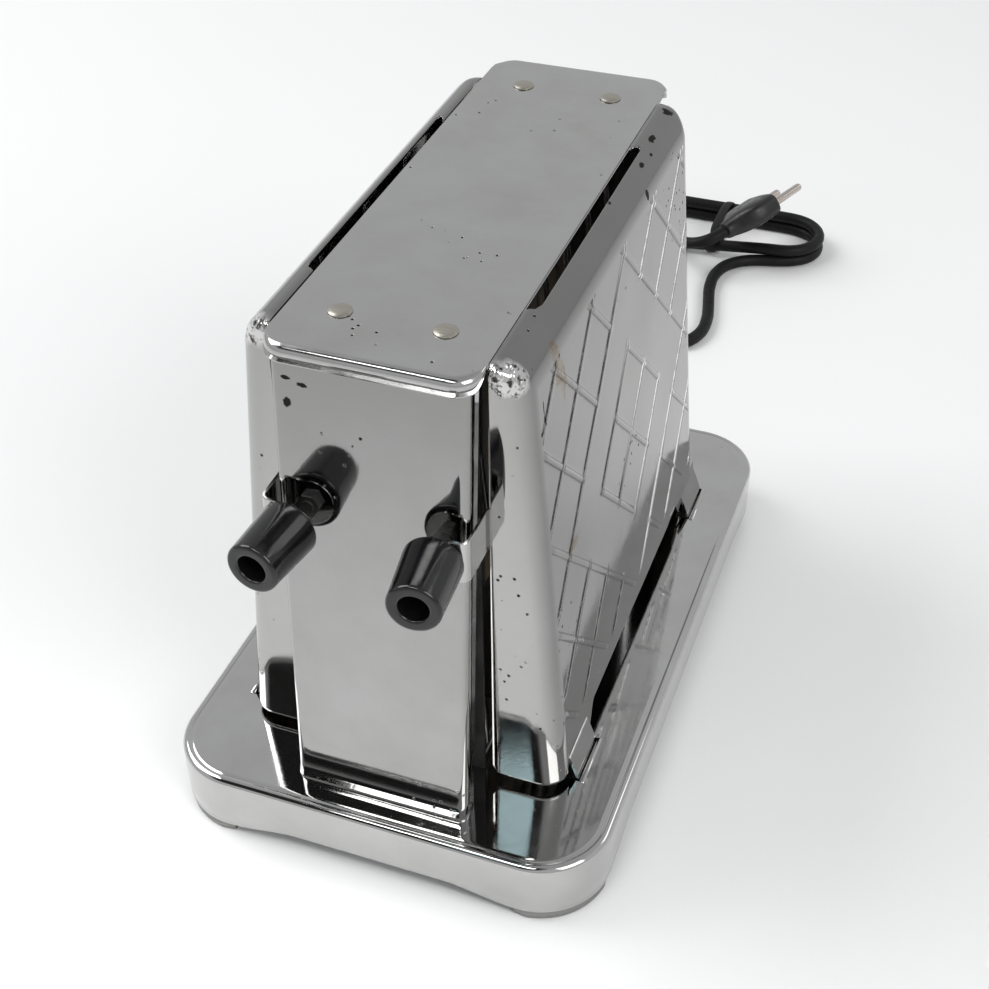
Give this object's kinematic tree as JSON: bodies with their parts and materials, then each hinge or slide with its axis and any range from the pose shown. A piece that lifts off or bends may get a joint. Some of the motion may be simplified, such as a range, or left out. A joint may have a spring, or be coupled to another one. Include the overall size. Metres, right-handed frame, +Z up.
{
  "type": "turnover toaster",
  "caption": "Vintage chromed turnover toaster on a tray base, with two drop-down doors, splayed black knobs on strap handles and a bundled mains cord.",
  "frame": {"origin": "centre of the bounding box's underside, without the cord, on the table", "axes": "+Y from the knobs to the cord end, along the body; +X to the right seen from the knobs; +Z up"},
  "size_m": [0.1536, 0.4821, 0.193],
  "materials": {
    "chrome": "bright, lightly worn chrome plating",
    "foot_metal": "dull dark grey",
    "plain_steel": "plain rolled sheet and wire",
    "rivet_metal": "tarnished nickel over brass",
    "ceramic": "off-white glazed ceramic",
    "mica": "brown layered mica, satin",
    "ribbon": "oxidised resistance ribbon",
    "brass": "plain brass",
    "sleeving": "woven glass sleeving",
    "knob_plastic": "polished black Bakelite",
    "cord_rubber": "black, slightly satin",
    "plug_plastic": "moulded black, satin",
    "pin_metal": "plated round pins"
  },
  "bodies": {
    "body": {"base_tray": "chrome", "corner_feet": "foot_metal", "bottom_cover": "plain_steel", "cover_posts": "plain_steel", "cover_screws": "plain_steel", "front_end_panel": "chrome", "rear_end_panel": "chrome", "top_plate": "chrome", "top_rivets": "rivet_metal", "front_frame_plate": "plain_steel", "rear_frame_plate": "plain_steel", "frame_screws": "plain_steel", "floor_shield": "plain_steel", "element_posts": "ceramic", "mica_card": "mica", "heating_ribbon": "ribbon", "left_bread_guard": "plain_steel", "right_bread_guard": "plain_steel", "terminal_block": "ceramic", "terminal_screws": "brass", "element_leads": "sleeving", "cord_clamp": "plain_steel", "inner_cord": "cord_rubber", "cord_grommet": "cord_rubber", "cord_relief": "cord_rubber", "mains_cord": "cord_rubber", "cord_hank": "cord_rubber", "plug_lead": "cord_rubber", "plug_body": "plug_plastic", "plug_pins": "pin_metal"},
    "left_door": {"left_door": "chrome", "left_handle_bracket": "chrome", "left_knob": "knob_plastic", "left_knob_screw": "plain_steel", "left_knob_nut": "plain_steel"},
    "right_door": {"right_door": "chrome", "right_handle_bracket": "chrome", "right_knob": "knob_plastic", "right_knob_screw": "plain_steel", "right_knob_nut": "plain_steel"}
  },
  "joints": [
    {"name": "left_door_hinge", "type": "hinge", "parent": "body", "child": "left_door", "pos_m": [-0.0612, 0, 0.0252], "axis": [0, -1, 0], "range_deg": [0, 85]},
    {"name": "right_door_hinge", "type": "hinge", "parent": "body", "child": "right_door", "pos_m": [0.0612, 0, 0.0252], "axis": [0, 1, 0], "range_deg": [0, 85]}
  ]
}
